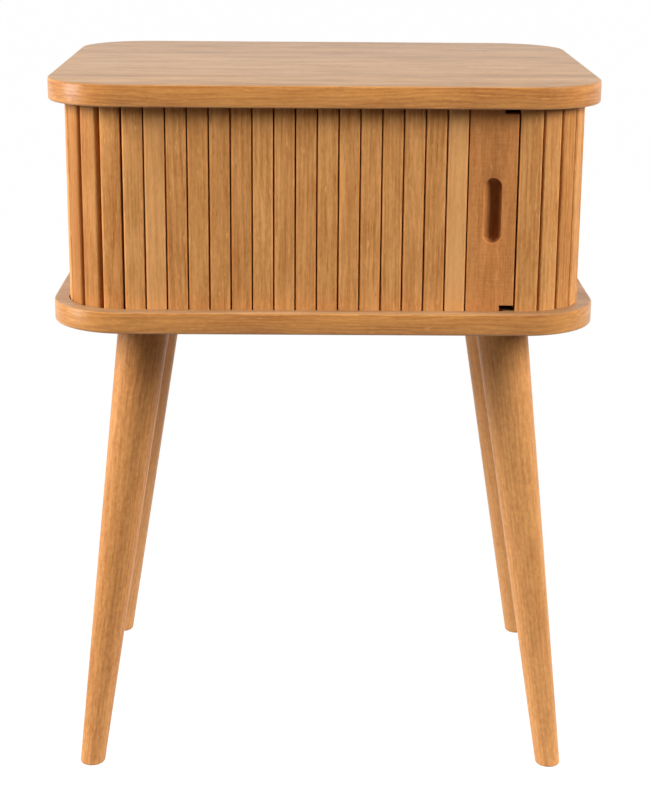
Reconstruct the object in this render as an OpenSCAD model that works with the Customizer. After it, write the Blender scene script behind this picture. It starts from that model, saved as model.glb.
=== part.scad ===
// Bedside table with a tambour door: a drum-cornered slatted cabinet between two boards, on
// four splayed legs. The origin is on the floor under the middle of the boards, +Z is up, and
// the front of the cabinet faces -Y. The slatted door starts at the right of the front and
// slides to the left, round the left corners and along the back.

/* [Boards] */
// Thickness of the top and bottom boards
board_t = 18; // [15:0.5:24]
// Size of the small chamfer round the edges of both boards
board_edge = 1.2; // [0.5:0.1:2]
// Height of the storage space between the boards
compartment_h = 165; // [140:1:260]
// Distance from the board edge to the outer face of the slats, at the front and sides
door_inset = 12.5; // [8:0.5:18]
// Distance from the rear face of the slats to the back edge of the boards
rear_margin = 40; // [20:0.1:60]

/* [Slats] */
// Distance between neighbouring slats along the door
slat_pitch = 17.3; // [15:0.1:20]
// Open gap between neighbouring slats on a straight run
slat_gap = 0.8; // [0.5:0.1:2.5]
// Thickness of a slat
slat_t = 6.4; // [5:0.1:8]
// Size of the chamfer on the two front edges of a slat
slat_edge = 1.6; // [0.3:0.1:2.5]
// Slats round each quarter-circle corner
corner_slats = 4; // [3:1:5]
// Slats along the straight left side
side_slats = 12; // [10:1:14]
// Thickness of the canvas behind the slats
canvas_t = 0.8; // [0.5:0.1:1.2]
// Distance from the ends of the canvas to the boards
canvas_margin = 2; // [1:0.5:5]

/* [Lead slat] */
// Width of the lead slat
lead_w = 38.8; // [32:0.2:50]
// Full thickness of the lead slat
lead_t = 12; // [10:0.5:14]
// Width of the thin strip of the lead slat that takes the canvas
lead_rebate = 9; // [7:0.5:10]
// Gap between the closed lead slat and the first fixed slat
lead_gap = 1.1; // [1:0.1:3]
// Width of the notches at the leading corners of the lead slat
notch_w = 11.5; // [8:0.5:14]
// Height of those notches above the board
notch_h = 4.8; // [3:0.2:8]
// Width of the finger recess
pull_w = 14.6; // [12:0.2:18]
// Height of the finger recess
pull_h = 53; // [40:1:80]
// Depth of the finger recess
pull_depth = 8; // [6.5:0.5:9]

/* [Track] */
// Depth of the track grooves in both boards
groove_depth = 6; // [4:0.5:8]
// Clearance between a slat and the walls of its groove
groove_clear = 0.4; // [0.3:0.05:0.8]
// Clearance between the end of a slat and the bottom of its groove
end_clear = 0.5; // [0.3:0.1:1]
// Wood left between the track and the housing of the panel next to it
track_wall = 2.4; // [2:0.1:4]

/* [Inner walls] */
// Thickness of the inner liner along the left side and the back
liner_t = 4.5; // [4:0.5:8]
// Angle round the front left corner at which the liner starts
liner_start = 16; // [12:1:30]
// Thickness of the curved backing of the fixed slats
backing_t = 6; // [5:0.5:9]
// Distance from the edge of the first fixed slat to the start of the front right corner
fixed_lap = 6.4; // [3:0.1:8]
// Gap between the faces of neighbouring fixed slats
fixed_gap = 0.6; // [0.4:0.1:1.5]
// Width of the first fixed slat, which bends off into the corner
fixed_first_w = 18.9; // [15:0.1:22]
// Fixed slats round the right side
fixed_count = 21; // [18:1:22]
// How much narrower a fixed slat is at its back than at its face
fixed_taper = 2.4; // [2:0.1:3.5]
// Thickness of the back panel
panel_t = 6; // [4:0.5:8]
// Depth of the housings of the inner walls and the back panel
housing_depth = 4; // [3:0.5:6]
// Clearance of a glued wall in its housing, on each side
housing_clear = 0.1; // [0.05:0.05:0.2]

/* [Legs] */
// Height of the legs
leg_h = 397.5; // [300:0.5:450]
// Distance from the side edges of the boards to the centres of the front legs at the board
leg_in_x = 73.6; // [60:0.1:105]
// The same distance for the rear legs
rear_leg_in_x = 75.2; // [60:0.1:105]
// Distance from the front and back edges of the boards to the leg centres at the board
leg_in_y = 87.6; // [65:0.1:105]
// How far a front leg leans outwards from the board to the floor, to the side
leg_out_x = 50.1; // [20:0.1:70]
// The same distance for a rear leg
rear_leg_out_x = 54.3; // [20:0.1:70]
// How far a leg leans outwards to the front or back
leg_out_y = 55.6; // [20:0.1:70]
// Radius of a leg at the board
leg_top_r = 22.4; // [18:0.1:26]
// Radius of a leg at the floor
foot_r = 10.6; // [9:0.1:15]
// Size of the chamfer round the foot
foot_edge = 1.5; // [0.5:0.1:3]
// Radius of the hanger bolts
bolt_r = 4; // [3:0.5:5]
// Length of a hanger bolt inside the leg
bolt_in_leg = 38; // [25:1:60]
// Outer radius of the threaded inserts
insert_r = 6.5; // [6:0.5:8]
// Height of the threaded inserts
insert_h = 11; // [8:0.5:11]
// Clearance of bolts and inserts in their holes
bolt_clear = 0.1; // [0.05:0.05:0.2]

/* [Hidden] */
$fn = 96;
over = 1;                       // how far a cut runs past the face that it opens

// The canvas line: the back faces of the slats turn about it
corner_step = 90 / corner_slats;
hinge_r = slat_pitch / (2 * sin(corner_step / 2));
hinge_flat_r = hinge_r * cos(corner_step / 2);
track_out_r = hinge_r + slat_t;
// The open door has the shape of the closed one, turned by a quarter round the cabinet
front_slats = side_slats + corner_slats;
front_run = front_slats * slat_pitch;
side_run = side_slats * slat_pitch;
slat_w = slat_pitch - slat_gap;

// The boards and the centres of the rounded corners
corner_r = track_out_r + door_inset;
body_w = 2 * corner_r + front_run + slat_gap / 2 + lead_w + lead_gap + fixed_lap;
body_d = 2 * track_out_r + side_run + door_inset + rear_margin;
corner_x = body_w / 2 - corner_r;
front_y = round(1000 * (corner_r - body_d / 2)) / 1000;
rear_y = front_y + side_run;
floor_z = leg_h + board_t;                 // upper face of the bottom board
ceiling_z = floor_z + compartment_h;       // lower face of the top board

// The door
slat_z = floor_z - groove_depth + end_clear;
slat_len = compartment_h + 2 * (groove_depth - end_clear);
lead_left = front_run - corner_x + slat_gap / 2;
lead_right = lead_left + lead_w;
lead_clear = 1;                            // from the thick part of the lead slat to the boards
canvas_joint = 0.3;                        // from the end of a strip of canvas to its fold
slat_total = front_slats + 2 * corner_slats + side_slats;
head_slats = corner_slats;                 // slats that bend round the front corner to open
first_curtain = head_slats + 1;
last_curtain = slat_total - corner_slats;

// The track and the walls beside it. The walls of the groove are rounded away from the slats to
// 0.02 mm, and front_y to 0.001 mm, so that the round ends of the groove meet them exactly.
groove_in_r = floor(50 * (hinge_flat_r - groove_clear)) / 50;
groove_out_r = ceil(50 * (track_out_r + groove_clear)) / 50;
groove_end = lead_right - notch_w + groove_clear;
groove_rear_end = front_run - corner_x + slat_gap;
liner_out_r = groove_in_r - track_wall;
backing_out_r = hinge_r;
fixed_left = lead_right + lead_gap;
fixed_step = slat_w + fixed_gap;           // pitch of the fixed slats along their faces
panel_y = rear_y + groove_out_r + track_wall;

// The legs: where the axis of a right leg meets the board, and how far it leans from there
leg_over = 30;                             // how far a leg runs past its ends before it is cut
function leg_top(rear) = [body_w / 2 - (rear ? rear_leg_in_x : leg_in_x), body_d / 2 - leg_in_y];
function leg_out(rear) = [rear ? rear_leg_out_x : leg_out_x, leg_out_y];

// The point of the canvas line that lies i slats from the left edge of the closed lead slat
function track_point(i) =
    i <= front_slats
        ? [(front_slats - i) * slat_pitch - corner_x, front_y - hinge_r]
    : i <= front_slats + corner_slats
        ? [-corner_x - hinge_r * sin((i - front_slats) * corner_step),
           front_y - hinge_r * cos((i - front_slats) * corner_step)]
    : i <= front_slats + corner_slats + side_slats
        ? [-corner_x - hinge_r, front_y + (i - front_slats - corner_slats) * slat_pitch]
    : [-corner_x - hinge_r * cos((i - last_curtain) * corner_step),
       rear_y + hinge_r * sin((i - last_curtain) * corner_step)];

// The middle of the face of a fixed slat that lies a distance s past the start of the front
// right corner, with the turn of the slat
corner_len = track_out_r * PI / 2;
function fixed_place(s) =
    s < corner_len
        ? let (a = s / track_out_r * 180 / PI)
          [corner_x + track_out_r * sin(a), front_y - track_out_r * cos(a), a]
    : s < corner_len + side_run
        ? [corner_x + track_out_r, front_y + s - corner_len, 90]
    : let (a = (s - corner_len - side_run) / track_out_r * 180 / PI)
      [corner_x + track_out_r * cos(a), rear_y + track_out_r * sin(a), 90 + a];

function two_digits(i) = i < 10 ? str("0", i) : str(i);
function slat_name(i) = str("slat_", two_digits(i));
function canvas_name(i) = str("canvas_", two_digits(i));

slat_list = [for (i = [1:slat_total]) i];
strip_list = [for (i = slat_list) if (i < first_curtain || i > last_curtain) i];

// Shapes that several pieces share

// A board with rounded corners and chamfered edges, lying with its lower face at z = 0
module board_blank() {
    module corner_disc() {
        cylinder(h = board_edge, r1 = corner_r - board_edge, r2 = corner_r);
        translate([0, 0, board_edge])
            cylinder(h = board_t - 2 * board_edge, r = corner_r);
        translate([0, 0, board_t - board_edge])
            cylinder(h = board_edge, r1 = corner_r, r2 = corner_r - board_edge);
    }
    // The profile of a bar that is `wide` across, with its four long edges chamfered
    module bar_profile(wide) {
        half = wide / 2;
        polygon([[-half + board_edge, 0], [half - board_edge, 0], [half, board_edge],
                 [half, board_t - board_edge], [half - board_edge, board_t],
                 [-half + board_edge, board_t], [-half, board_t - board_edge],
                 [-half, board_edge]]);
    }
    corner_y = body_d / 2 - corner_r;
    for (x = [-corner_x, corner_x], y = [-corner_y, corner_y])
        translate([x, y, 0]) corner_disc();
    translate([0, corner_y, 0]) rotate([90, 0, 0])
        linear_extrude(2 * corner_y) bar_profile(body_w);
    translate([-corner_x, 0, 0]) rotate([90, 0, 90])
        linear_extrude(2 * corner_x) bar_profile(body_d);
}

// Part of a ring round the centre (x, y), from one angle to another on the floor plan
module ring_arc(x, y, from, to, r_in, r_out, h) {
    translate([x, y, 0]) rotate([0, 0, from]) rotate_extrude(angle = to - from)
        translate([r_in, 0]) square([r_out - r_in, h]);
}

// A box between two corners on the floor plan
module slab(x0, y0, x1, y1, h) {
    translate([x0, y0, 0]) cube([x1 - x0, y1 - y0, h]);
}

// The track of the slats: along the front, the left side and the back, with round ends
module track_cut(h) {
    mid_r = (groove_in_r + groove_out_r) / 2;
    end_r = (groove_out_r - groove_in_r) / 2;
    slab(-corner_x, front_y - groove_out_r, groove_end, front_y - groove_in_r, h);
    translate([groove_end, front_y - mid_r, 0]) cylinder(h = h, r = end_r, $fn = 48);
    ring_arc(-corner_x, front_y, 180, 270, groove_in_r, groove_out_r, h);
    slab(-corner_x - groove_out_r, front_y, -corner_x - groove_in_r, rear_y, h);
    ring_arc(-corner_x, rear_y, 90, 180, groove_in_r, groove_out_r, h);
    slab(-corner_x, rear_y + groove_in_r, groove_rear_end, rear_y + groove_out_r, h);
    translate([groove_rear_end, rear_y + mid_r, 0]) cylinder(h = h, r = end_r, $fn = 48);
}

// The liner on the floor plan, grown by `grow` for its housing
module liner_plan(grow, h) {
    out_r = liner_out_r + grow;
    in_r = liner_out_r - liner_t - grow;
    start = 270 - liner_start + grow / liner_out_r * 180 / PI;
    ring_arc(-corner_x, front_y, 180, start, in_r, out_r, h);
    slab(-corner_x - out_r, front_y, -corner_x - in_r, rear_y, h);
    ring_arc(-corner_x, rear_y, 90, 180, in_r, out_r, h);
    slab(-corner_x, rear_y + in_r, corner_x, rear_y + out_r, h);
}

// The backing of the fixed slats on the floor plan, grown by `grow` for its housing
module backing_plan(grow, h) {
    out_r = backing_out_r + grow;
    in_r = backing_out_r - backing_t - grow;
    slab(fixed_left - grow, front_y - out_r, corner_x, front_y - in_r, h);
    ring_arc(corner_x, front_y, 270, 360, in_r, out_r, h);
    slab(corner_x + in_r, front_y, corner_x + out_r, rear_y, h);
    ring_arc(corner_x, rear_y, 0, 90, in_r, out_r, h);
}

// The back panel on the floor plan, grown by `grow` for its housing
module panel_plan(grow, h) {
    slab(-corner_x - grow, panel_y - grow, corner_x + grow, panel_y + panel_t + grow, h);
}

// All grooves and housings of one board, measured down from its inner face
module board_cuts() {
    translate([0, 0, -groove_depth]) track_cut(groove_depth + over);
    translate([0, 0, -housing_depth]) {
        liner_plan(housing_clear, housing_depth + over);
        backing_plan(housing_clear, housing_depth + over);
        panel_plan(housing_clear, housing_depth + over);
    }
}

// Puts its children on the chord of the canvas line that belongs to slat i: X runs along the
// chord and the outside of the cabinet is towards -Y
module on_chord(i) {
    a = track_point(i);
    b = track_point(i - 1);
    translate([(a[0] + b[0]) / 2, (a[1] + b[1]) / 2, 0])
        rotate([0, 0, atan2(b[1] - a[1], b[0] - a[0])]) children();
}

// The section of a slat, `taper` narrower at its back than at its face
module slat_section(wide, thick, taper = 0) {
    half = wide / 2;
    polygon([[-half + slat_edge, -thick], [half - slat_edge, -thick],
             [half, -thick + slat_edge], [half - taper / 2, 0],
             [-half + taper / 2, 0], [-half, -thick + slat_edge]]);
}

// Boards and walls

module top_board() {
    color([0.83, 0.69, 0.56]) difference() {
        translate([0, 0, ceiling_z]) board_blank();
        translate([0, 0, ceiling_z]) mirror([0, 0, 1]) board_cuts();
    }
}

module bottom_board() {
    color([0.76, 0.53, 0.32]) difference() {
        translate([0, 0, leg_h]) board_blank();
        translate([0, 0, floor_z]) board_cuts();
        at_legs(-over) cylinder(h = insert_h + over, r = insert_r + bolt_clear, $fn = 48);
    }
}

// The walls stand on the bottoms of their housings in both boards
module between_housings() {
    translate([0, 0, floor_z - housing_depth]) children();
}
wall_h = compartment_h + 2 * housing_depth;

module back_panel() {
    color([0.72, 0.54, 0.36]) between_housings() panel_plan(0, wall_h);
}

module liner() {
    color([0.74, 0.56, 0.38]) between_housings() liner_plan(0, wall_h);
}

module fixed_backing() {
    color([0.70, 0.51, 0.33]) between_housings() backing_plan(0, wall_h);
}

module fixed_slats() {
    // A slat of some width whose middle lies a distance s past the start of the corner
    module fixed_slat(s, wide) {
        place = fixed_place(s);
        translate([place[0], place[1], floor_z]) rotate([0, 0, place[2]])
            translate([0, slat_t, 0]) linear_extrude(compartment_h)
                slat_section(wide, slat_t, fixed_taper);
    }
    start = fixed_left - corner_x;
    second = start + fixed_first_w + fixed_gap + slat_w / 2;
    color([0.78, 0.56, 0.34]) {
        fixed_slat(start + fixed_first_w / 2, fixed_first_w);
        for (i = [0:fixed_count - 2]) fixed_slat(second + i * fixed_step, slat_w);
    }
}

// Legs

// One copy over the top of each leg, with z = 0 at the given height above the leg
module at_legs(z) {
    for (sx = [0, 1], rear = [true, false])
        mirror([sx, 0, 0]) mirror([0, rear ? 0 : 1, 0])
            translate([leg_top(rear)[0], leg_top(rear)[1], leg_h + z]) children();
}

// A right leg that leans backwards; left and front legs are mirror images
module leg(rear) {
    top = leg_top(rear);
    out = leg_out(rear);
    lean = atan(norm(out) / leg_h);
    len = leg_h / cos(lean);
    slope = (leg_top_r - foot_r) / len;
    color([0.78, 0.55, 0.31]) difference() {
        intersection() {
            translate([top[0] + out[0], top[1] + out[1], 0])
                rotate([0, 0, atan2(out[1], out[0])]) rotate([0, -lean, 0])
                translate([0, 0, -leg_over])
                    cylinder(h = len + 2 * leg_over, r1 = foot_r - slope * leg_over,
                             r2 = leg_top_r + slope * leg_over);
            union() {
                translate([0, 0, 2 * foot_edge])
                    cube([body_w, body_d, leg_h - 2 * foot_edge]);
                translate([top[0] + out[0], top[1] + out[1], 0])
                    cylinder(h = 2 * foot_edge, r1 = foot_r - foot_edge, r2 = foot_r + foot_edge);
            }
        }
        translate([top[0], top[1], leg_h - bolt_in_leg - bolt_clear])
            cylinder(h = bolt_in_leg + bolt_clear + over, r = bolt_r + bolt_clear, $fn = 48);
    }
}

module leg_rear_right() {
    leg(true);
}

module leg_rear_left() {
    mirror([1, 0, 0]) leg(true);
}

module leg_front_right() {
    mirror([0, 1, 0]) leg(false);
}

module leg_front_left() {
    mirror([1, 0, 0]) mirror([0, 1, 0]) leg(false);
}

module leg_bolts() {
    color([0.62, 0.63, 0.65]) at_legs(-bolt_in_leg)
        cylinder(h = bolt_in_leg + insert_h - bolt_clear, r = bolt_r, $fn = 48);
}

module leg_inserts() {
    color([0.72, 0.60, 0.30]) at_legs(0) difference() {
        cylinder(h = insert_h, r = insert_r, $fn = 48);
        translate([0, 0, -over])
            cylinder(h = insert_h + 2 * over, r = bolt_r + bolt_clear, $fn = 48);
    }
}

// Door

// The section of the finger recess: X across it, Y into the wood, with a round bottom
module pull_section() {
    r = pull_w / 2;
    lip = max(pull_depth - r, 0);
    translate([0, pull_depth - r]) intersection() {
        circle(r = r, $fn = 64);
        translate([-r, 0]) square([2 * r, r]);
    }
    translate([-r, -over]) square([2 * r, over + lip]);
}

module lead_slat() {
    middle_z = floor_z + compartment_h / 2;
    face_y = front_y - track_out_r;
    thick_left = lead_left + lead_rebate;
    pull_run = pull_h - pull_w;
    // The straight part of the finger recess, then one of its round ends
    module pull_middle() {
        translate([0, 0, -pull_run / 2]) linear_extrude(pull_run) pull_section();
    }
    module pull_end() {
        translate([0, 0, pull_run / 2]) rotate([90, 0, 0]) mirror([0, 0, 1])
            rotate_extrude(angle = 180, $fn = 64) intersection() {
                pull_section();
                translate([0, -over]) square([pull_w, pull_depth + 2 * over]);
            }
    }
    module notch(z) {
        translate([lead_right - notch_w, face_y - over, z])
            cube([notch_w + over, lead_t + 2 * over, notch_h + groove_depth + over]);
    }
    color([0.75, 0.50, 0.29]) difference() {
        union() {
            translate([(lead_left + lead_right) / 2, front_y - hinge_r, slat_z])
                linear_extrude(slat_len) slat_section(lead_w, slat_t);
            translate([thick_left, face_y + slat_t / 2, floor_z + lead_clear])
                cube([lead_right - thick_left, lead_t - slat_t / 2,
                      compartment_h - 2 * lead_clear]);
        }
        translate([(lead_left + lead_right) / 2, face_y, middle_z]) {
            pull_middle();
            pull_end();
            mirror([0, 0, 1]) pull_end();
        }
        notch(floor_z - groove_depth - over);
        notch(ceiling_z - notch_h);
    }
}

module slat(i) {
    color([0.77 - 0.03 * (i % 3), 0.55 - 0.025 * (i % 3), 0.33])
        on_chord(i) translate([0, 0, slat_z])
            linear_extrude(slat_len) slat_section(slat_w, slat_t);
}

// Canvas on the back faces of the slats, from one point of a chord to another
module canvas_run(x0, x1) {
    translate([x0, 0, floor_z + canvas_margin])
        cube([x1 - x0, canvas_t, compartment_h - 2 * canvas_margin]);
}

// The strip that folds with one of the first or last slats
module canvas_strip(i) {
    half = slat_pitch / 2 - canvas_joint;
    color([0.20, 0.15, 0.12]) on_chord(i) canvas_run(-half, half);
}

module canvas_lead() {
    color([0.20, 0.15, 0.12]) translate([0, front_y - hinge_r, 0])
        canvas_run(lead_left - slat_gap / 2 + canvas_joint, lead_left + lead_rebate - canvas_joint);
}

module canvas_curtain() {
    half = slat_pitch / 2;
    front_left = track_point(front_slats);
    side_front = track_point(front_slats + corner_slats);
    run = (front_slats - head_slats) * slat_pitch;
    color([0.20, 0.15, 0.12]) {
        translate([front_left[0], front_left[1], 0]) canvas_run(0, run - canvas_joint);
        for (i = [front_slats + 1:front_slats + corner_slats])
            on_chord(i) canvas_run(-half, half);
        translate([side_front[0], side_front[1], 0]) rotate([0, 0, -90])
            canvas_run(canvas_joint - side_run, 0);
    }
}

top_board();
bottom_board();
back_panel();
liner();
fixed_backing();
fixed_slats();
leg_front_left();
leg_front_right();
leg_rear_left();
leg_rear_right();
leg_bolts();
leg_inserts();
lead_slat();
canvas_lead();
canvas_curtain();
for (i = slat_list)
    slat(i);
for (i = strip_list)
    canvas_strip(i);
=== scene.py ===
"""A bedside table with a tambour door: rounded oiled boards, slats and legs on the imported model.

Lengths are in metres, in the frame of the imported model: the origin is on the floor under the
middle of the boards, +Z is up and the front with the door faces -Y.
"""
import math
import random

import bpy
from bpy.props import FloatProperty, FloatVectorProperty, IntProperty, PointerProperty
from bpy.types import Operator, Panel, PropertyGroup
from mathutils import Matrix, Vector


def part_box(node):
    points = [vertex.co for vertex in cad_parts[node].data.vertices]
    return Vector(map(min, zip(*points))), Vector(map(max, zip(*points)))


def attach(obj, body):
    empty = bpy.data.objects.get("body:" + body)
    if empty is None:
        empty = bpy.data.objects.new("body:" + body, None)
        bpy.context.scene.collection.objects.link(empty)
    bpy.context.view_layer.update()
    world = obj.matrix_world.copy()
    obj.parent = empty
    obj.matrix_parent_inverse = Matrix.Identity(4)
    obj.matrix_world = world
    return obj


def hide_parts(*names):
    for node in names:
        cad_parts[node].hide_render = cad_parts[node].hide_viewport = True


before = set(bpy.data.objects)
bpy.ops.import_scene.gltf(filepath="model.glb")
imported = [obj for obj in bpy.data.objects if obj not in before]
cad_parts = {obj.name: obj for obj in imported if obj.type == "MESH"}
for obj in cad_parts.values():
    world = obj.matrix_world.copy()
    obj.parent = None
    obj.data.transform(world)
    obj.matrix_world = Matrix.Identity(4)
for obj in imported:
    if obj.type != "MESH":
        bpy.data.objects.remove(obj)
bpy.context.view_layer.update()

bl_info = {
    "name": "Tambour bedside table",
    "version": (1, 0, 0),
    "blender": (4, 5, 0),
    "location": "View3D > Sidebar > Bedside table",
    "description": "Builds a bedside table with a tambour door, and its studio",
    "category": "Object",
}

MM = 0.001
HAIR = 1e-6                      # points closer than this are at one place
OVER = 1 * MM                    # how far a cutter stands out of the wood

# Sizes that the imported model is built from
PITCH = 17.3 * MM                # between neighbouring slats of the door
SLAT_GAP = 0.8 * MM
SLAT_T = 6.4 * MM
DOOR_INSET = 12.5 * MM           # from the edge of a board to the faces of the slats
CORNER_SLATS = 4
SIDE_SLATS = 12
FRONT_SLATS = CORNER_SLATS + SIDE_SLATS
LEAD_W = 38.8 * MM
LEAD_T = 12 * MM
LEAD_REBATE = 9 * MM
LEAD_CLEAR = 1 * MM
LEAD_GAP = 1.1 * MM
NOTCH_W = 11.5 * MM
NOTCH_H = 4.8 * MM
PULL_W = 14.6 * MM
PULL_H = 53 * MM
PULL_DEPTH = 8 * MM
PULL_LEAN = 0.42                 # how far the recess shifts to the right as it gets deeper
GROOVE_DEPTH = 6 * MM
GROOVE_CLEAR = 0.4 * MM
TRACK_WALL = 2.4 * MM
LINER_T = 4.5 * MM
LINER_START = math.radians(16)
BACKING_T = 6 * MM
PANEL_T = 6 * MM
HOUSING_DEPTH = 4 * MM
HOUSING_CLEAR = 0.1 * MM
FIXED_GAP = 0.6 * MM
FIXED_FIRST_W = 18.9 * MM
FIXED_COUNT = 21
FIXED_TAPER = 2.4 * MM
CANVAS_T = 0.8 * MM
CANVAS_MARGIN = 2 * MM
CANVAS_JOINT = 0.3 * MM
LEG_IN_X = {"front": 73.6 * MM, "rear": 75.2 * MM}   # from the sides of the boards to a leg
LEG_IN_Y = 87.6 * MM
LEG_OUT_X = {"front": 50.1 * MM, "rear": 54.3 * MM}  # how far a leg leans outwards
LEG_OUT_Y = 55.6 * MM
LEG_TOP_R = 22.4 * MM
FOOT_R = 10.6 * MM

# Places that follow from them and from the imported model
STEP = math.radians(90 / CORNER_SLATS)
HINGE_R = PITCH / (2 * math.sin(STEP / 2))
GROOVE_IN_R = math.floor((HINGE_R * math.cos(STEP / 2) - GROOVE_CLEAR) / (0.02 * MM)) \
    * 0.02 * MM
TRACK_OUT_R = HINGE_R + SLAT_T
GROOVE_OUT_R = math.ceil((TRACK_OUT_R + GROOVE_CLEAR) / (0.02 * MM)) * 0.02 * MM
CORNER_R = TRACK_OUT_R + DOOR_INSET
SLAT_W = PITCH - SLAT_GAP
BOARD_LOW, BOARD_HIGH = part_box("top_board")
CORNER_X = BOARD_HIGH.x - CORNER_R
FRONT_Y = BOARD_LOW.y + CORNER_R
REAR_Y = FRONT_Y + SIDE_SLATS * PITCH
LEG_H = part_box("bottom_board")[0].z
FLOOR_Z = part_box("bottom_board")[1].z
CEILING_Z = BOARD_LOW.z
FRONT_END = FRONT_SLATS * PITCH - CORNER_X      # where the slats of the shut door end
LEAD_LEFT = FRONT_END + SLAT_GAP / 2
LEAD_RIGHT = LEAD_LEFT + LEAD_W
FIXED_LEFT = LEAD_RIGHT + LEAD_GAP
LAST_CURTAIN = FRONT_SLATS + CORNER_SLATS + SIDE_SLATS
SLAT_TOTAL = LAST_CURTAIN + CORNER_SLATS
PANEL_Y = REAR_Y + GROOVE_OUT_R + TRACK_WALL

# Shades of the wood; a plank has its own, from -1, dark, to 1, pale. Some of these also hold
# painted light or shade, as noted.
# The front legs' shades are their own tone; the rear legs' 0.9 is painted light, which makes them
# paler for the light that falls on them from behind.
LEG_SHADES_AND_PAINTED_LIGHT = {"leg_front_left": -0.5, "leg_front_right": 0.5,
              "leg_rear_left": 0.9, "leg_rear_right": 0.9}
DEEPEST = (0.80, 0.80, 0.80)     # the darkest plank's dark colour, against the usual one
PALEST = (1.14, 1.22, 1.38)      # the palest plank's pale colour, against the usual one
RECESS_PAINTED_SHADE = 0.82              # painted shade: the recess's wood, against the lead slat's face, darkened for the shade in the hollow
WEAVE_PITCH = 1.1 * MM           # two threads of the canvas

# The studio
FRAME_HEIGHT = 800               # of the photograph, in pixels
FOCAL_LENGTH = 1872.3            # in the same pixels
SENSOR = 36                      # height of the film, in millimetres
CAMERA_TURN = (0.489, 16.2, 0.425)              # to the right, down and of roll, in degrees
CAMERA_PLACE = (-0.0106, -1.6533, 0.7708)
LAMP_AIM = Vector((0, 0, 0.42))
LAMPS = (      # name, place, size, setting of its power, and whether surfaces mirror it
    ("left_softbox", (-1.98, -0.70, 1.52), (1.2, 1.2), "key_power", False),
    ("left_strip", (-2.05, -0.42, 0.62), (0.8, 0.9), "strip_power", True),
    ("right_softbox", (1.9, -0.90, 1.45), (1.2, 1.1), "fill_power", False),
    ("back_softbox", (0.4, 2.1, 0.40), (1.4, 0.6), "back_power", False),
    ("overhead", (0.0, -0.3, 2.8), (1.5, 1.5), "top_power", True))
FLOOR_SIZE = 60
NEAR_FLOOR, FAR_FLOOR = 0.28, 0.5               # from the middle, where the floor darkens
FLOOR_GLOW = 1.08                # a little above white, so that only the shadow is seen
GLOW_SHARE = 0.92                # the rest is lit as any floor, and keeps the shadow


def tint(red, green, blue):
    """A colour as it looks on a screen, from 0 to 255, made the linear one that shaders use."""
    def linear(part):
        part /= 255
        return part / 12.92 if part <= 0.04045 else ((part + 0.055) / 1.055) ** 2.4
    return tuple(linear(part) for part in (red, green, blue))


def colour_prop(name, words, red, green, blue):
    """A colour setting with its default given as it looks on a screen."""
    return FloatVectorProperty(name=name, description=words, subtype="COLOR", size=3,
                               min=0, max=1, default=tint(red, green, blue))


def length_prop(name, words, default):
    """A length setting in metres."""
    return FloatProperty(name=name, description=words, default=default, min=0,
                         unit="LENGTH", subtype="DISTANCE")


class TableShape(PropertyGroup):
    """Roundings of the wooden pieces."""
    board_round: length_prop("Board edge", "Radius of the edges of both boards", 1.6 * MM)
    slat_round: length_prop("Slat edge", "Radius of the front edges of a slat", 2.4 * MM)
    lead_round: length_prop("Lead slat edge", "Radius of the front edges of the lead slat",
                            1.2 * MM)
    foot_round: length_prop("Foot edge", "Radius round the foot of a leg", 2.2 * MM)
    pull_round: length_prop("Recess edge", "Radius of the edge of the finger recess", 0.6 * MM)


class TableFinish(PropertyGroup):
    """Colours of the finishes."""
    top_light: colour_prop("Top, pale", "Pale wood of the faces of the boards", 177, 137, 98)
    top_dark: colour_prop("Top, dark", "Grain lines of the faces of the boards", 140, 103, 66)
    band_light: colour_prop("Edge, pale", "Pale wood of the edges of the boards", 210, 142, 61)
    band_dark: colour_prop("Edge, dark", "Grain lines of the edges of the boards", 157, 90, 16)
    slat_light: colour_prop("Slats, pale", "Pale wood of the slats", 223, 161, 97)
    slat_dark: colour_prop("Slats, dark", "Grain lines of the slats", 171, 107, 53)
    lead_light: colour_prop("Lead slat, pale", "Pale wood of the lead slat", 212, 144, 84)
    lead_dark: colour_prop("Lead slat, dark", "Grain of the lead slat", 168, 104, 54)
    leg_light: colour_prop("Legs, pale", "Pale wood of the legs", 222, 158, 94)
    leg_dark: colour_prop("Legs, dark", "Grain lines of the legs", 178, 115, 62)
    panel_light: colour_prop("Inside, pale", "Pale wood of the inner walls", 206, 148, 90)
    panel_dark: colour_prop("Inside, dark", "Grain lines of the inner walls", 164, 108, 60)
    canvas: colour_prop("Canvas", "Threads of the canvas behind the slats", 96, 50, 22)
    seed: IntProperty(name="Log", description="Picks other planks from the log", default=685215)


class TableStage(PropertyGroup):
    """Light and colours of the studio."""
    key_power: FloatProperty(name="Left lamp", description="Power of the left softbox",
                             default=75, min=0, subtype="POWER", unit="POWER")
    fill_power: FloatProperty(name="Right lamp", description="Power of the right softbox",
                              default=65, min=0, subtype="POWER", unit="POWER")
    strip_power: FloatProperty(name="Low left lamp", description="Power of the low softbox",
                               default=13, min=0, subtype="POWER", unit="POWER")
    back_power: FloatProperty(name="Back lamp", description="Power of the softbox behind",
                              default=30, min=0, subtype="POWER", unit="POWER")
    top_power: FloatProperty(name="Top lamp", description="Power of the lamp overhead",
                             default=14, min=0, subtype="POWER", unit="POWER")
    sky: FloatProperty(name="Surroundings", description="Light of the white room",
                       default=0.03, min=0)
    floor: colour_prop("Floor", "Colour of the floor under the table", 200, 200, 200)
    far_floor: colour_prop("Far floor", "Colour of the floor further off", 66, 66, 66)


# Shaders

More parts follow.
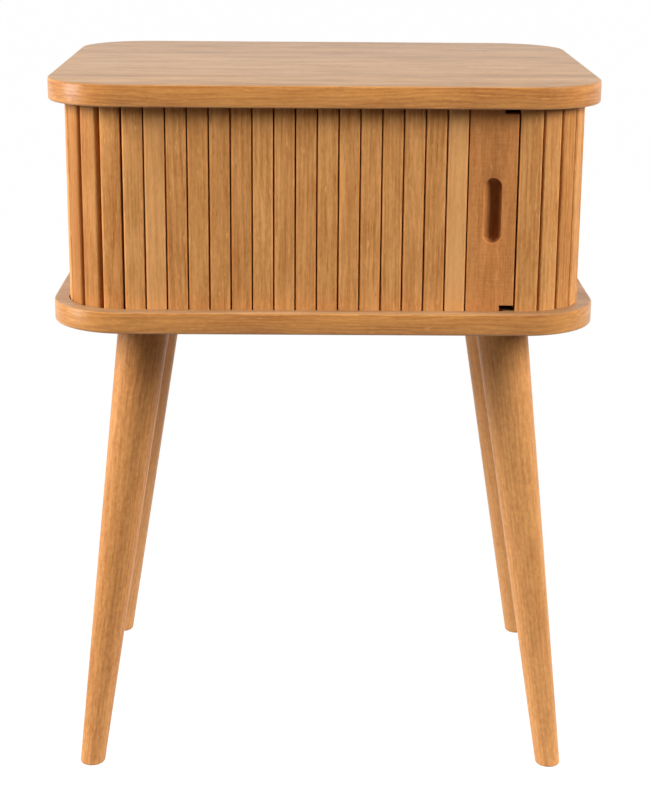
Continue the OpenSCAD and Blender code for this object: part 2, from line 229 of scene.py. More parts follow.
class Flow:
    """A number or vector between shader nodes; sums on it add Math nodes."""

    def __init__(self, paint, socket):
        self.paint, self.socket = paint, socket

    def __add__(self, other):
        return self.paint.maths("ADD", self, other)

    def __sub__(self, other):
        return self.paint.maths("SUBTRACT", self, other)

    def __rsub__(self, other):
        return self.paint.maths("SUBTRACT", other, self)

    def __mul__(self, other):
        return self.paint.maths("MULTIPLY", self, other)

    def __truediv__(self, other):
        return self.paint.maths("DIVIDE", self, other)

    def __rtruediv__(self, other):
        return self.paint.maths("DIVIDE", other, self)

    def __pow__(self, other):
        return self.paint.maths("POWER", self, other)

    __radd__ = __add__
    __rmul__ = __mul__


class Paint:
    """A material or a world while its nodes are put together."""

    def __init__(self, owner):
        owner.use_nodes = True
        self.owner, self.tree = owner, owner.node_tree
        self.tree.nodes.clear()

    def node(self, kind, settings=None, sockets=None, out=0):
        """Adds a node from its type, its settings and the values or links of its sockets."""
        node = self.tree.nodes.new(kind)
        for name, value in (settings or {}).items():
            setattr(node, name, value)
        for name, value in (sockets or {}).items():
            if isinstance(value, Flow):
                self.tree.links.new(value.socket, node.inputs[name])
            else:
                node.inputs[name].default_value = value
        return Flow(self, node.outputs[out]) if len(node.outputs) else None

    def maths(self, operation, *values):
        return self.node("ShaderNodeMath", {"operation": operation}, dict(enumerate(values)))

    def attribute(self, name, out="Vector"):
        return self.node("ShaderNodeAttribute", {"attribute_name": name}, out=out)

    def noise(self, place, stretch, detail=2.0, roughness=0.5):
        """Noise that is stretched by different amounts along the three axes, per metre."""
        where = self.node("ShaderNodeVectorMath", {"operation": "MULTIPLY"},
                          {0: place, 1: stretch})
        return self.node("ShaderNodeTexNoise", {}, {
            "Vector": where, "Scale": 1.0, "Detail": detail, "Roughness": roughness})

    def ramp(self, value, low, high):
        """0 below low, 1 above high, and smooth between them."""
        return self.node("ShaderNodeMapRange", {"interpolation_type": "SMOOTHSTEP"},
                         {"Value": value, "From Min": low, "From Max": high})

    def blend(self, share, under, over):
        """Two colours mixed by a share."""
        def full(colour):
            return colour if isinstance(colour, Flow) else (*colour, 1)
        return self.node("ShaderNodeMix", {"data_type": "RGBA", "clamp_factor": True},
                         {0: share, 6: full(under), 7: full(over)}, out=2)

    def parts(self, vector, count):
        """The first numbers of a vector."""
        return [self.node("ShaderNodeSeparateXYZ", {}, {0: vector}, out=k)
                for k in range(count)]

    def background_rays(self):
        """1 where the camera looks, also in a reflection or through glass."""
        rays = [self.node("ShaderNodeLightPath", out=f"Is {kind} Ray")
                for kind in ("Camera", "Glossy", "Transmission")]
        return self.maths("MAXIMUM", self.maths("MAXIMUM", rays[0], rays[1]), rays[2])

    def finish(self, shader):
        self.node("ShaderNodeOutputMaterial", {}, {0: shader})
        return self.owner


def wood(name, light, dark, place=None, layered=False, ring=2.6 * MM, rings=1.0, grain=1.0,
         broad=1.0, mottle=0.5, rough=0.44, gloss=0.08, tone=True, cross=0.0):
    """Oiled wood cut from a log whose heart runs along Z of the coordinates it reads.

    place turns and moves Object coordinates into the log; without it, each piece's own
    attribute `grain` does that, and `tone` makes whole planks paler or darker. Layered wood
    has its grain in level layers instead, which wrap round the edge of a board.
    """
    paint = Paint(bpy.data.materials.new(name))
    if place is None:
        log = paint.attribute("grain")
    else:
        turn, move = place
        here = paint.node("ShaderNodeTexCoord", out="Object")
        log = paint.node("ShaderNodeMapping", {"vector_type": "POINT"}, {
            "Vector": here, "Rotation": turn, "Location": move})

    def noise(across, along, detail=2.0, roughness=0.5):
        """Noise about 0 that changes so often per metre, across the grain and along it."""
        stretch = (along, along, across) if layered else (across, across, along)
        return paint.noise(log, stretch, detail, roughness) - 0.5
    x, y, z = paint.parts(log, 3)
    if layered:
        depth = z + noise(30, 7) * 0.022 + noise(60, 22) * 0.004
    else:
        depth = (x * x + y * y) ** 0.5 + noise(9, 1.3) * 0.016 + noise(70, 6) * 0.0016
    year = paint.maths("FRACT", depth / ring)
    late = paint.ramp(year, 0.25, 0.92) * (1 - paint.ramp(year, 0.93, 1.0))
    streak = noise(130, 4, 3.0, 0.6) * 0.8 + noise(480, 30, 3.0, 0.6) * 1.3
    fibre = noise(1300, 110, 3.0, 0.65)
    cloud = noise(45, 14, 3.0)
    pore = paint.ramp(noise(1500, 110, 1.0), 0.11, 0.2) * (1 - late)
    fleck = paint.ramp(noise(520, 90, 1.0), 0.17, 0.26)
    darkness = 0.42 + (late - 0.35) * (0.26 * rings) + streak * (1.0 * grain) \
        + fibre * (0.9 * grain) + cloud * (1.1 * broad) + pore * (0.35 * grain) \
        + noise(320, 210, 3.0, 0.6) * mottle - fleck * (0.6 * grain)
    if cross:
        darkness = darkness + noise(55, 700, 2.0) * cross
    colour = paint.blend(darkness, light, dark)
    if tone:
        plank = paint.attribute("tone", out="Fac")
        deep = tuple(part * less for part, less in zip(dark, DEEPEST))
        pale = tuple(min(1.0, part * more) for part, more in zip(light, PALEST))
        colour = paint.blend(paint.maths("MAXIMUM", plank * -1, 0.0) * 0.35, colour, deep)
        colour = paint.blend(paint.maths("MAXIMUM", plank, 0.0) * 0.40, colour, pale)
    height = fibre * 0.6 - pore * 0.6 - late * 0.2 + streak * 0.3
    normal = paint.node("ShaderNodeBump", {}, {
        "Strength": 0.3, "Distance": 0.0004, "Height": height})
    shader = paint.node("ShaderNodeBsdfPrincipled", {}, {
        "Base Color": colour, "Roughness": rough + streak * 0.16 + pore * 0.15,
        "Normal": normal, "Specular IOR Level": gloss})
    return paint.finish(shader)


def cloth(name, thread):
    """A plain weave on the coordinates of the attribute `weave`: along the cloth, then up it."""
    paint = Paint(bpy.data.materials.new(name))
    weave = paint.attribute("weave")
    warp, weft = (paint.maths("SINE", way * (2 * math.pi / WEAVE_PITCH))
                  for way in paint.parts(weave, 2))
    over = warp * weft
    fuzz = paint.noise(weave, (900, 900, 900), 2.0) - 0.5
    colour = paint.blend(over * 0.35 + 0.5 + fuzz * 0.5,
                         tuple(part * 0.6 for part in thread),
                         tuple(part * 1.35 for part in thread))
    normal = paint.node("ShaderNodeBump", {}, {
        "Strength": 0.5, "Distance": 0.0002, "Height": over + fuzz * 0.4})
    return paint.finish(paint.node("ShaderNodeBsdfPrincipled", {}, {
        "Base Color": colour, "Roughness": 0.9, "Normal": normal,
        "Specular IOR Level": 0.2}))


def metal(name, colour, rough):
    """Plated or turned metal with fine rings round a vertical axis."""
    paint = Paint(bpy.data.materials.new(name))
    here = paint.node("ShaderNodeTexCoord", out="Object")
    rings = paint.noise(here, (40, 40, 2600), 2.0)
    shade = paint.blend(rings, tuple(part * 0.8 for part in colour), colour)
    return paint.finish(paint.node("ShaderNodeBsdfPrincipled", {}, {
        "Base Color": shade, "Metallic": 1.0, "Roughness": rings * 0.2 + rough}))


# Modelling by hand, in code

def rest_hands():
    """Leaves edit mode and lets go of everything, so the next tool acts on its own piece."""
    active = bpy.context.object
    if active and active.mode != "OBJECT":
        bpy.ops.object.mode_set(mode="OBJECT")
    bpy.ops.object.select_all(action="DESELECT")


def hold(piece):
    """Makes one piece the selected and active one."""
    rest_hands()
    piece.select_set(True)
    bpy.context.view_layer.objects.active = piece


def settle(piece, name=None):
    """Moves the piece's place, turn and size into its mesh."""
    if name:
        piece.name = piece.data.name = name
    hold(piece)
    bpy.ops.object.transform_apply(location=True, rotation=True, scale=True)
    return piece


def block(name, low, high):
    """A box between two corners."""
    rest_hands()
    low, high = Vector(low), Vector(high)
    bpy.ops.mesh.primitive_cube_add(size=1, location=(low + high) / 2)
    bpy.context.object.scale = high - low
    return settle(bpy.context.object, name)


def pick(piece, part, test):
    """Selects the edges or faces whose corners all pass a test, and stays in edit mode."""
    hold(piece)
    bpy.ops.object.mode_set(mode="EDIT")
    bpy.ops.mesh.select_mode(type=part)
    bpy.ops.mesh.select_all(action="DESELECT")
    bpy.ops.object.mode_set(mode="OBJECT")
    mesh = piece.data
    for item in mesh.edges if part == "EDGE" else mesh.polygons:
        item.select = test([mesh.vertices[k].co for k in item.vertices])
    bpy.ops.object.mode_set(mode="EDIT")


def round_edges(piece, test, radius, segments):
    """Rounds the edges whose ends pass a test."""
    pick(piece, "EDGE", test)
    bpy.ops.mesh.bevel(offset=radius, segments=segments, affect="EDGES", profile=0.5)
    bpy.ops.object.mode_set(mode="OBJECT")


def near(value, wanted):
    """True for two places that are the same but for rounding."""
    return abs(value - wanted) < HAIR


def upright(ends):
    """True for an edge that stands straight up."""
    return near(ends[0].x, ends[1].x) and near(ends[0].y, ends[1].y)


def at_level(*levels):
    """A test for edges that lie at one of some heights."""
    return lambda ends: any(all(near(end.z, z) for end in ends) for z in levels)


def cut(piece, cutter):
    """Takes the cutter's shape out of the piece."""
    hold(piece)
    tool = piece.modifiers.new("Cut", "BOOLEAN")
    tool.operation, tool.solver, tool.object = "DIFFERENCE", "EXACT", cutter
    bpy.ops.object.modifier_apply(modifier=tool.name)


def scrap(*pieces):
    """Throws away pieces that were only tools."""
    for piece in pieces:
        bpy.data.meshes.remove(piece.data)


def smooth(piece, degrees=35):
    """Shades a piece smooth, but for its edges that are sharper than an angle."""
    hold(piece)
    bpy.ops.object.shade_smooth_by_angle(angle=math.radians(degrees))


def runway(name, centre, turn, in_r, out_r, low, high, moves):
    """A wall with a square section that runs straight and round corners.

    It starts between the distances in_r and out_r from a centre, straight in front of it or
    a turn further round. A move is a vector to run along, or a centre and the angle to turn
    round it, counter-clockwise.
    """
    rest_hands()
    middle = Vector(centre) + Matrix.Rotation(turn, 2) @ Vector((0, -(in_r + out_r) / 2))
    bpy.ops.mesh.primitive_plane_add(size=1, location=(*middle, (low + high) / 2),
                                     rotation=(math.pi / 2, 0, math.pi / 2 + turn))
    wall = bpy.context.object
    wall.scale = (out_r - in_r, high - low, 1)
    settle(wall, name)
    bpy.ops.object.mode_set(mode="EDIT")
    bpy.ops.mesh.select_all(action="SELECT")
    for (x, y), angle in moves:
        if angle:
            bpy.ops.mesh.spin(steps=16, angle=-angle, center=(x, y, 0), axis=(0, 0, 1))
        else:
            bpy.ops.mesh.extrude_region_move(TRANSFORM_OT_translate={"value": (x, y, 0)})
    bpy.ops.mesh.select_all(action="SELECT")
    bpy.ops.mesh.remove_doubles(threshold=HAIR)
    bpy.ops.mesh.select_mode(type="FACE")
    bpy.ops.mesh.select_all(action="DESELECT")
    bpy.ops.mesh.select_interior_faces()
    bpy.ops.mesh.delete(type="FACE")
    bpy.ops.mesh.select_all(action="SELECT")
    bpy.ops.mesh.normals_make_consistent(inside=False)
    bpy.ops.object.mode_set(mode="OBJECT")
    return wall


def rod(name, centre, radius, low, high):
    """An upright cylinder."""
    rest_hands()
    bpy.ops.mesh.primitive_cylinder_add(vertices=48, radius=radius, depth=high - low,
                                        location=(*centre, (low + high) / 2))
    return settle(bpy.context.object, name)


def mark(piece, name, values, kind="FLOAT_VECTOR"):
    """Writes one value for each point of a piece, for its material to read."""
    layer = piece.data.attributes.new(name, kind, "POINT")
    field = "vector" if kind == "FLOAT_VECTOR" else "value"
    flat = [part for value in values for part in value] if field == "vector" else values
    layer.data.foreach_set(field, flat)


def saw(piece, place, dice, far=0.075, tilt=1.2, shade=None):
    """Says where in the log a plank was cut.

    place brings the plank's own axes, with Z along it, to where it stands. The plank is
    given a place of its own in the log, some way from the heart and a little askew, and
    a shade from -1, dark, to 1, pale.
    """
    off = Vector((dice.uniform(-far, far), dice.uniform(0.4 * far, 1.6 * far),
                  dice.uniform(-2.0, 2.0)))
    lean = Matrix.Rotation(math.radians(dice.uniform(-tilt, tilt)), 4, "X") \
        @ Matrix.Rotation(math.radians(dice.uniform(-tilt, tilt)), 4, "Y")
    into = Matrix.Translation(off) @ lean @ place.inverted()
    mark(piece, "grain", [into @ point.co for point in piece.data.vertices])
    shade = dice.gauss(0, 0.5) if shade is None else shade
    mark(piece, "tone", [shade] * len(piece.data.vertices), "FLOAT")


def dress(piece, material, body, slot, *nodes):
    """Gives a piece its material and its body, and hides the imported nodes that it stands for;
    slot is not used.
    """
    if material:
        piece.data.materials.clear()
        piece.data.materials.append(material)
    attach(piece, body)
    if nodes:
        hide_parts(*nodes)
    rest_hands()
    return piece


def paint_node(node, material):
    """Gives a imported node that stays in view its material."""
    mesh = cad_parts[node].data
    mesh.materials.clear()
    mesh.materials.append(material)


# The line of the canvas, which the slats follow

def track_point(i):
    """The point of the canvas line i slats from the left edge of the shut lead slat."""
    if i <= FRONT_SLATS:
        return Vector((FRONT_END - i * PITCH, FRONT_Y - HINGE_R, 0))
    if i <= FRONT_SLATS + CORNER_SLATS:
        turn = (i - FRONT_SLATS) * STEP
        return Vector((-CORNER_X - HINGE_R * math.sin(turn),
                       FRONT_Y - HINGE_R * math.cos(turn), 0))
    if i <= LAST_CURTAIN:
        return Vector((-CORNER_X - HINGE_R,
                       FRONT_Y + (i - FRONT_SLATS - CORNER_SLATS) * PITCH, 0))
    turn = (i - LAST_CURTAIN) * STEP
    return Vector((-CORNER_X - HINGE_R * math.cos(turn),
                   REAR_Y + HINGE_R * math.sin(turn), 0))


def chord_place(i):
    """Brings a slat whose back face lies on the X axis, with its face at -Y, to its chord."""
    left, right = track_point(i), track_point(i - 1)
    way = right - left
    return Matrix.Translation((left + right) / 2) @ Matrix.Rotation(
        math.atan2(way.y, way.x), 4, "Z")


def fixed_place(along):
    """The same for a fixed slat, a distance along past the start of the front right corner."""
    corner = TRACK_OUT_R * math.pi / 2
    if along < corner:
        turn = along / TRACK_OUT_R
        middle = (CORNER_X + TRACK_OUT_R * math.sin(turn), FRONT_Y - TRACK_OUT_R * math.cos(turn))
    elif along < corner + REAR_Y - FRONT_Y:
        turn = math.pi / 2
        middle = (CORNER_X + TRACK_OUT_R, FRONT_Y + along - corner)
    else:
        past = (along - corner - REAR_Y + FRONT_Y) / TRACK_OUT_R
        turn = math.pi / 2 + past
        middle = (CORNER_X + TRACK_OUT_R * math.cos(past), REAR_Y + TRACK_OUT_R * math.sin(past))
    return Matrix.Translation((*middle, 0)) @ Matrix.Rotation(turn, 4, "Z") \
        @ Matrix.Translation((0, SLAT_T, 0))


def slat_stock(wide, low, high, shape, taper=0.0):
    """One slat standing on the origin: its back face on the X axis and its face at -Y."""
    stock = block("slat_stock", (-wide / 2, -SLAT_T, low), (wide / 2, 0, high))
    if taper:
        pick(stock, "FACE", lambda corners: all(near(c.y, 0) for c in corners))
        bpy.ops.transform.resize(value=((wide - taper) / wide, 1, 1))
        bpy.ops.object.mode_set(mode="OBJECT")
    round_edges(stock, lambda ends: upright(ends) and ends[0].y < -SLAT_T / 2,
                shape.slat_round, 7)
    smooth(stock)
    return stock


def copy_of(stock, name):
    """A copy of a piece with its own mesh."""
    twin = stock.copy()
    twin.data = stock.data.copy()
    twin.name = twin.data.name = name
    bpy.context.scene.collection.objects.link(twin)
    return twin


def slat_wood(look):
    """The wood of the door's slats and of the fixed ones, made once."""
    return bpy.data.materials.get("slat_oak") or wood(
        "slat_oak", tuple(look.slat_light), tuple(look.slat_dark))


class TableOperator:
    """What all the operators here share."""
    bl_options = {"REGISTER", "UNDO"}


class TABLE_OT_boards(TableOperator, Operator):
    """Makes both boards: rounded corners and edges, and the grooves on their inner faces"""
    bl_idname = "table.boards"
    bl_label = "Boards"

    def execute(self, context):
        look, shape = context.scene.table_finish, context.scene.table_shape
        face = wood("board_face", tuple(look.top_light), tuple(look.top_dark),
                    place=((0, math.pi / 2, 0), (0.31, 0.02, 0.06)), ring=7.5 * MM,
                    rings=1.6, grain=0.8, broad=1.4, mottle=0.4, gloss=0.5, tone=False)
        band = wood("board_band", tuple(look.band_light), tuple(look.band_dark),
                    place=((0, 0, 0), (0, 0, 0)), layered=True, ring=3.4 * MM, grain=0.8,
                    mottle=0.5, rough=0.32, gloss=0.8, tone=False)
        cutters = self.cutters()
        for node in ("top_board", "bottom_board"):
            bottom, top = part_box(node)
            piece = block(node + "_oiled", bottom, top)
            round_edges(piece, upright, CORNER_R, 28)
            round_edges(piece, at_level(bottom.z, top.z), shape.board_round, 4)
            for cutter in cutters:
                cut(piece, cutter)
            piece.data.materials.append(face)
            piece.data.materials.append(band)
            for polygon in piece.data.polygons:
                level = abs(polygon.normal.z) > 0.6
                polygon.material_index = 0 if level else 1
            smooth(piece)
            dress(piece, None, "cabinet", "top_wood" if node == "top_board" else "board_wood",
                  node)
        scrap(*cutters)
        return {"FINISHED"}

    @staticmethod
    def cutters():
        """Cutters that reach into both boards: the track, and housings for the inner walls."""
        low, high = FLOOR_Z - GROOVE_DEPTH, CEILING_Z + GROOVE_DEPTH
        front, rear, round_left = (-CORNER_X, FRONT_Y), (-CORNER_X, REAR_Y), -math.pi / 2
        middle_r, end_r = (GROOVE_IN_R + GROOVE_OUT_R) / 2, (GROOVE_OUT_R - GROOVE_IN_R) / 2
        track_right = LEAD_RIGHT - NOTCH_W + GROOVE_CLEAR
        rear_right = FRONT_END + SLAT_GAP
        side = ((0, REAR_Y - FRONT_Y), 0)
        cutters = [
            runway("track", (track_right, FRONT_Y), 0, GROOVE_IN_R, GROOVE_OUT_R, low, high, [
                ((-CORNER_X - track_right, 0), 0), (front, round_left), side,
                (rear, round_left), ((rear_right + CORNER_X, 0), 0)]),
            rod("track_front", (track_right, FRONT_Y - middle_r), end_r, low, high),
            rod("track_rear", (rear_right, REAR_Y + middle_r), end_r, low, high)]
        low, high = FLOOR_Z - HOUSING_DEPTH, CEILING_Z + HOUSING_DEPTH
        liner_out = GROOVE_IN_R - TRACK_WALL + HOUSING_CLEAR
        liner_in = liner_out - LINER_T - 2 * HOUSING_CLEAR
        cutters += [
            runway("liner_housing", front, -LINER_START, liner_in, liner_out, low, high, [
                (front, round_left + LINER_START), side, (rear, round_left),
                ((2 * CORNER_X, 0), 0)]),
            runway("backing_housing", (FIXED_LEFT - HOUSING_CLEAR, FRONT_Y), 0,
                   HINGE_R - BACKING_T - HOUSING_CLEAR, HINGE_R + HOUSING_CLEAR, low, high, [
                ((CORNER_X - FIXED_LEFT + HOUSING_CLEAR, 0), 0),
                ((CORNER_X, FRONT_Y), -round_left), side,
                ((CORNER_X, REAR_Y), -round_left)]),
            block("panel_housing", (-CORNER_X - HOUSING_CLEAR, PANEL_Y - HOUSING_CLEAR, low),
                  (CORNER_X + HOUSING_CLEAR, PANEL_Y + PANEL_T + HOUSING_CLEAR, high))]
        return cutters


class TABLE_OT_door_slats(TableOperator, Operator):
    """Makes the 36 slats of the door, each a plank of its own"""
    bl_idname = "table.door_slats"
    bl_label = "Door slats"

    def execute(self, context):
        look, shape = context.scene.table_finish, context.scene.table_shape
        low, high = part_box("slat_01")
        stock = slat_stock(SLAT_W, low.z, high.z, shape)
        dice = random.Random(look.seed)
        for i in range(1, SLAT_TOTAL + 1):
            node = f"slat_{i:02d}"
            piece = copy_of(stock, node + "_oiled")
            place = chord_place(i)
            piece.data.transform(place)
            saw(piece, place, dice)
            body = "curtain" if CORNER_SLATS < i <= LAST_CURTAIN else node
            dress(piece, slat_wood(look), body, "slat_wood", node)
        scrap(stock)
        return {"FINISHED"}


class TABLE_OT_fixed_slats(TableOperator, Operator):
    """Makes the slats that are glued round the right side"""
    bl_idname = "table.fixed_slats"
    bl_label = "Fixed slats"

    def execute(self, context):
        look, shape = context.scene.table_finish, context.scene.table_shape
        stocks = [slat_stock(wide, FLOOR_Z, CEILING_Z, shape, FIXED_TAPER)
                  for wide in (FIXED_FIRST_W, SLAT_W)]
        dice = random.Random(look.seed + 1)
        start = FIXED_LEFT - CORNER_X
        second = start + FIXED_FIRST_W + FIXED_GAP + SLAT_W / 2
        pieces = []
        for i in range(FIXED_COUNT):
            piece = copy_of(stocks[min(i, 1)], "fixed_slat")
            place = fixed_place(second + (i - 1) * (SLAT_W + FIXED_GAP) if i
                                else start + FIXED_FIRST_W / 2)
            piece.data.transform(place)
            saw(piece, place, dice)
            pieces.append(piece)
        scrap(*stocks)
        rest_hands()
        for piece in pieces:
            piece.select_set(True)
        bpy.context.view_layer.objects.active = pieces[0]
        bpy.ops.object.join()
        whole = bpy.context.object
        whole.name = whole.data.name = "fixed_slats_oiled"
        dress(whole, slat_wood(look), "cabinet", "slat_wood", "fixed_slats")
        return {"FINISHED"}


class TABLE_OT_lead_slat(TableOperator, Operator):
    """Makes the wide lead slat with its tongue, notches and rounded finger recess"""
    bl_idname = "table.lead_slat"
    bl_label = "Lead slat"

    def execute(self, context):
        look, shape = context.scene.table_finish, context.scene.table_shape
        low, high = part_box("lead_slat")
        face_y = FRONT_Y - TRACK_OUT_R
        middle = ((LEAD_LEFT + LEAD_RIGHT) / 2, (FLOOR_Z + CEILING_Z) / 2)
        piece = block("lead_slat_oiled", (LEAD_LEFT, face_y, low.z),
                      (LEAD_RIGHT, face_y + LEAD_T, high.z))
        tools = self.joinery(face_y, low.z, high.z)
        round_edges(piece, lambda ends: upright(ends) and near(ends[0].y, face_y),
                    shape.lead_round, 4)
        tools.append(self.recess(middle, face_y))
        for tool in tools:
            cut(piece, tool)
        half_w, half_h = PULL_W / 2 + OVER, PULL_H / 2 + OVER

        def rim(ends):
            return all(near(end.y, face_y) and abs(end.x - middle[0]) < half_w
                       and abs(end.z - middle[1]) < half_h for end in ends)
        round_edges(piece, rim, shape.pull_round, 3)
        smooth(piece, 30)
        place = Matrix.Translation((middle[0], face_y, 0))
        saw(piece, place, random.Random(look.seed + 2), tilt=0.6)
        material = wood("lead_oak", tuple(look.lead_light), tuple(look.lead_dark),
                        ring=1.9 * MM, rings=0.5, grain=0.8, mottle=0.7, tone=False, cross=0.5)
        dress(piece, material, "door_lead", "lead_wood", "lead_slat")
        # Painted shade: the faces inside the recess get a darker copy of the lead slat's wood,
        # which stands in for the shade in the hollow.
        piece.data.materials.append(wood(
            "recess_oak", *(tuple(part * RECESS_PAINTED_SHADE for part in shade)
                            for shade in (look.lead_light, look.lead_dark)),
            ring=1.9 * MM, rings=0.5, gloss=0.1, rough=0.6, tone=False))
        for polygon in piece.data.polygons:
            at = polygon.center
            polygon.material_index = int(
                at.y > face_y + shape.pull_round and abs(at.x - middle[0]) < half_w
                and abs(at.z - middle[1]) < half_h and at.y < face_y + PULL_DEPTH + MM)
        scrap(*tools)
        return {"FINISHED"}

    @staticmethod
    def joinery(face_y, low, high):
        """Cutters of the rebate for the canvas, the tongues at both ends and the notches."""
        return [
            block("rebate", (LEAD_LEFT - OVER, face_y + SLAT_T, low - OVER),
                  (LEAD_LEFT + LEAD_REBATE, face_y + LEAD_T + OVER, high + OVER)),
            block("tongue_low", (LEAD_LEFT - OVER, face_y + SLAT_T, low - OVER),
                  (LEAD_RIGHT + OVER, face_y + LEAD_T + OVER, FLOOR_Z + LEAD_CLEAR)),
            block("tongue_high", (LEAD_LEFT - OVER, face_y + SLAT_T, CEILING_Z - LEAD_CLEAR),
                  (LEAD_RIGHT + OVER, face_y + LEAD_T + OVER, high + OVER)),
            block("notch_low", (LEAD_RIGHT - NOTCH_W, face_y - OVER, low - OVER),
                  (LEAD_RIGHT + OVER, face_y + LEAD_T + OVER, FLOOR_Z + NOTCH_H)),
            block("notch_high", (LEAD_RIGHT - NOTCH_W, face_y - OVER, CEILING_Z - NOTCH_H),
                  (LEAD_RIGHT + OVER, face_y + LEAD_T + OVER, high + OVER))]

    @staticmethod
    def recess(middle, face_y):
        """The cutter of the finger recess: a capsule with straight sides out to the face."""
        radius, rings = PULL_W / 2, 24
        rest_hands()
        bpy.ops.mesh.primitive_uv_sphere_add(segments=2 * rings, ring_count=rings,
                                             radius=radius, rotation=(math.pi / 2, 0, 0))
        ball = settle(bpy.context.object, "recess")
        run = (PULL_H - PULL_W) / 2
        pick(ball, "FACE", lambda corners: sum(c.z for c in corners) > 0)
        bpy.ops.transform.translate(value=(0, 0, run))
        pick(ball, "FACE", lambda corners: sum(c.z for c in corners) < 0)
        bpy.ops.transform.translate(value=(0, 0, -run))
        levels = [radius * math.sin(math.pi * k / rings) for k in range(rings // 2 + 1)]
        for here, deeper in zip(levels, levels[1:]):
            pick(ball, "FACE", lambda corners: all(c.y > here - HAIR for c in corners))
            bpy.ops.transform.translate(value=((deeper - here) * PULL_LEAN, 0, 0))
        bpy.ops.object.mode_set(mode="OBJECT")
        ball.location = (middle[0], face_y + PULL_DEPTH - radius, middle[1])
        return settle(ball)


class TABLE_OT_legs(TableOperator, Operator):
    """Makes the four turned legs, cut level at the board and at the floor"""
    bl_idname = "table.legs"
    bl_label = "Legs"

    def execute(self, context):
        look, shape = context.scene.table_finish, context.scene.table_shape
        material = wood("leg_oak", tuple(look.leg_light), tuple(look.leg_dark),
                        ring=3.4 * MM, grain=1.1, broad=0.4, mottle=1.4, gloss=0.2)
        dice = random.Random(look.seed + 3)
        over = 30 * MM               # how much is cut off at each end
        # shade: each leg's own tone; for the rear legs it is painted light that makes them paler.
        for node, shade in LEG_SHADES_AND_PAINTED_LIGHT.items():
            row, hand = node.split("_")[1:]
            side = Matrix.Diagonal((-1 if hand == "left" else 1, -1 if row == "front" else 1, 1))
            head = Vector((BOARD_HIGH.x - LEG_IN_X[row], BOARD_HIGH.y - LEG_IN_Y, LEG_H))
            out = Vector((LEG_OUT_X[row], LEG_OUT_Y, -LEG_H))
            head, foot = side @ head, side @ (head + out)
            length = out.length
            slope = (LEG_TOP_R - FOOT_R) / length
            place = Matrix.Translation(foot) @ (head - foot).to_track_quat("Z", "Y") \
                .to_matrix().to_4x4()
            rest_hands()
            bpy.ops.mesh.primitive_cone_add(
                vertices=80, radius1=FOOT_R - slope * over, radius2=LEG_TOP_R + slope * over,
                depth=length + 2 * over, location=(0, 0, length / 2))
            piece = settle(bpy.context.object, node + "_oiled")
            piece.data.transform(place)
            bpy.ops.object.mode_set(mode="EDIT")
            for level, lower in ((0, True), (LEG_H, False)):
                bpy.ops.mesh.select_all(action="SELECT")
                bpy.ops.mesh.bisect(plane_co=(0, 0, level), plane_no=(0, 0, 1), use_fill=True,
                                    clear_inner=lower, clear_outer=not lower)
            round_edges(piece, at_level(0), shape.foot_round, 5)
            smooth(piece)
            saw(piece, place, dice, far=0.03, tilt=0.8, shade=shade)
            dress(piece, material, "cabinet", "leg_wood", node)
        return {"FINISHED"}


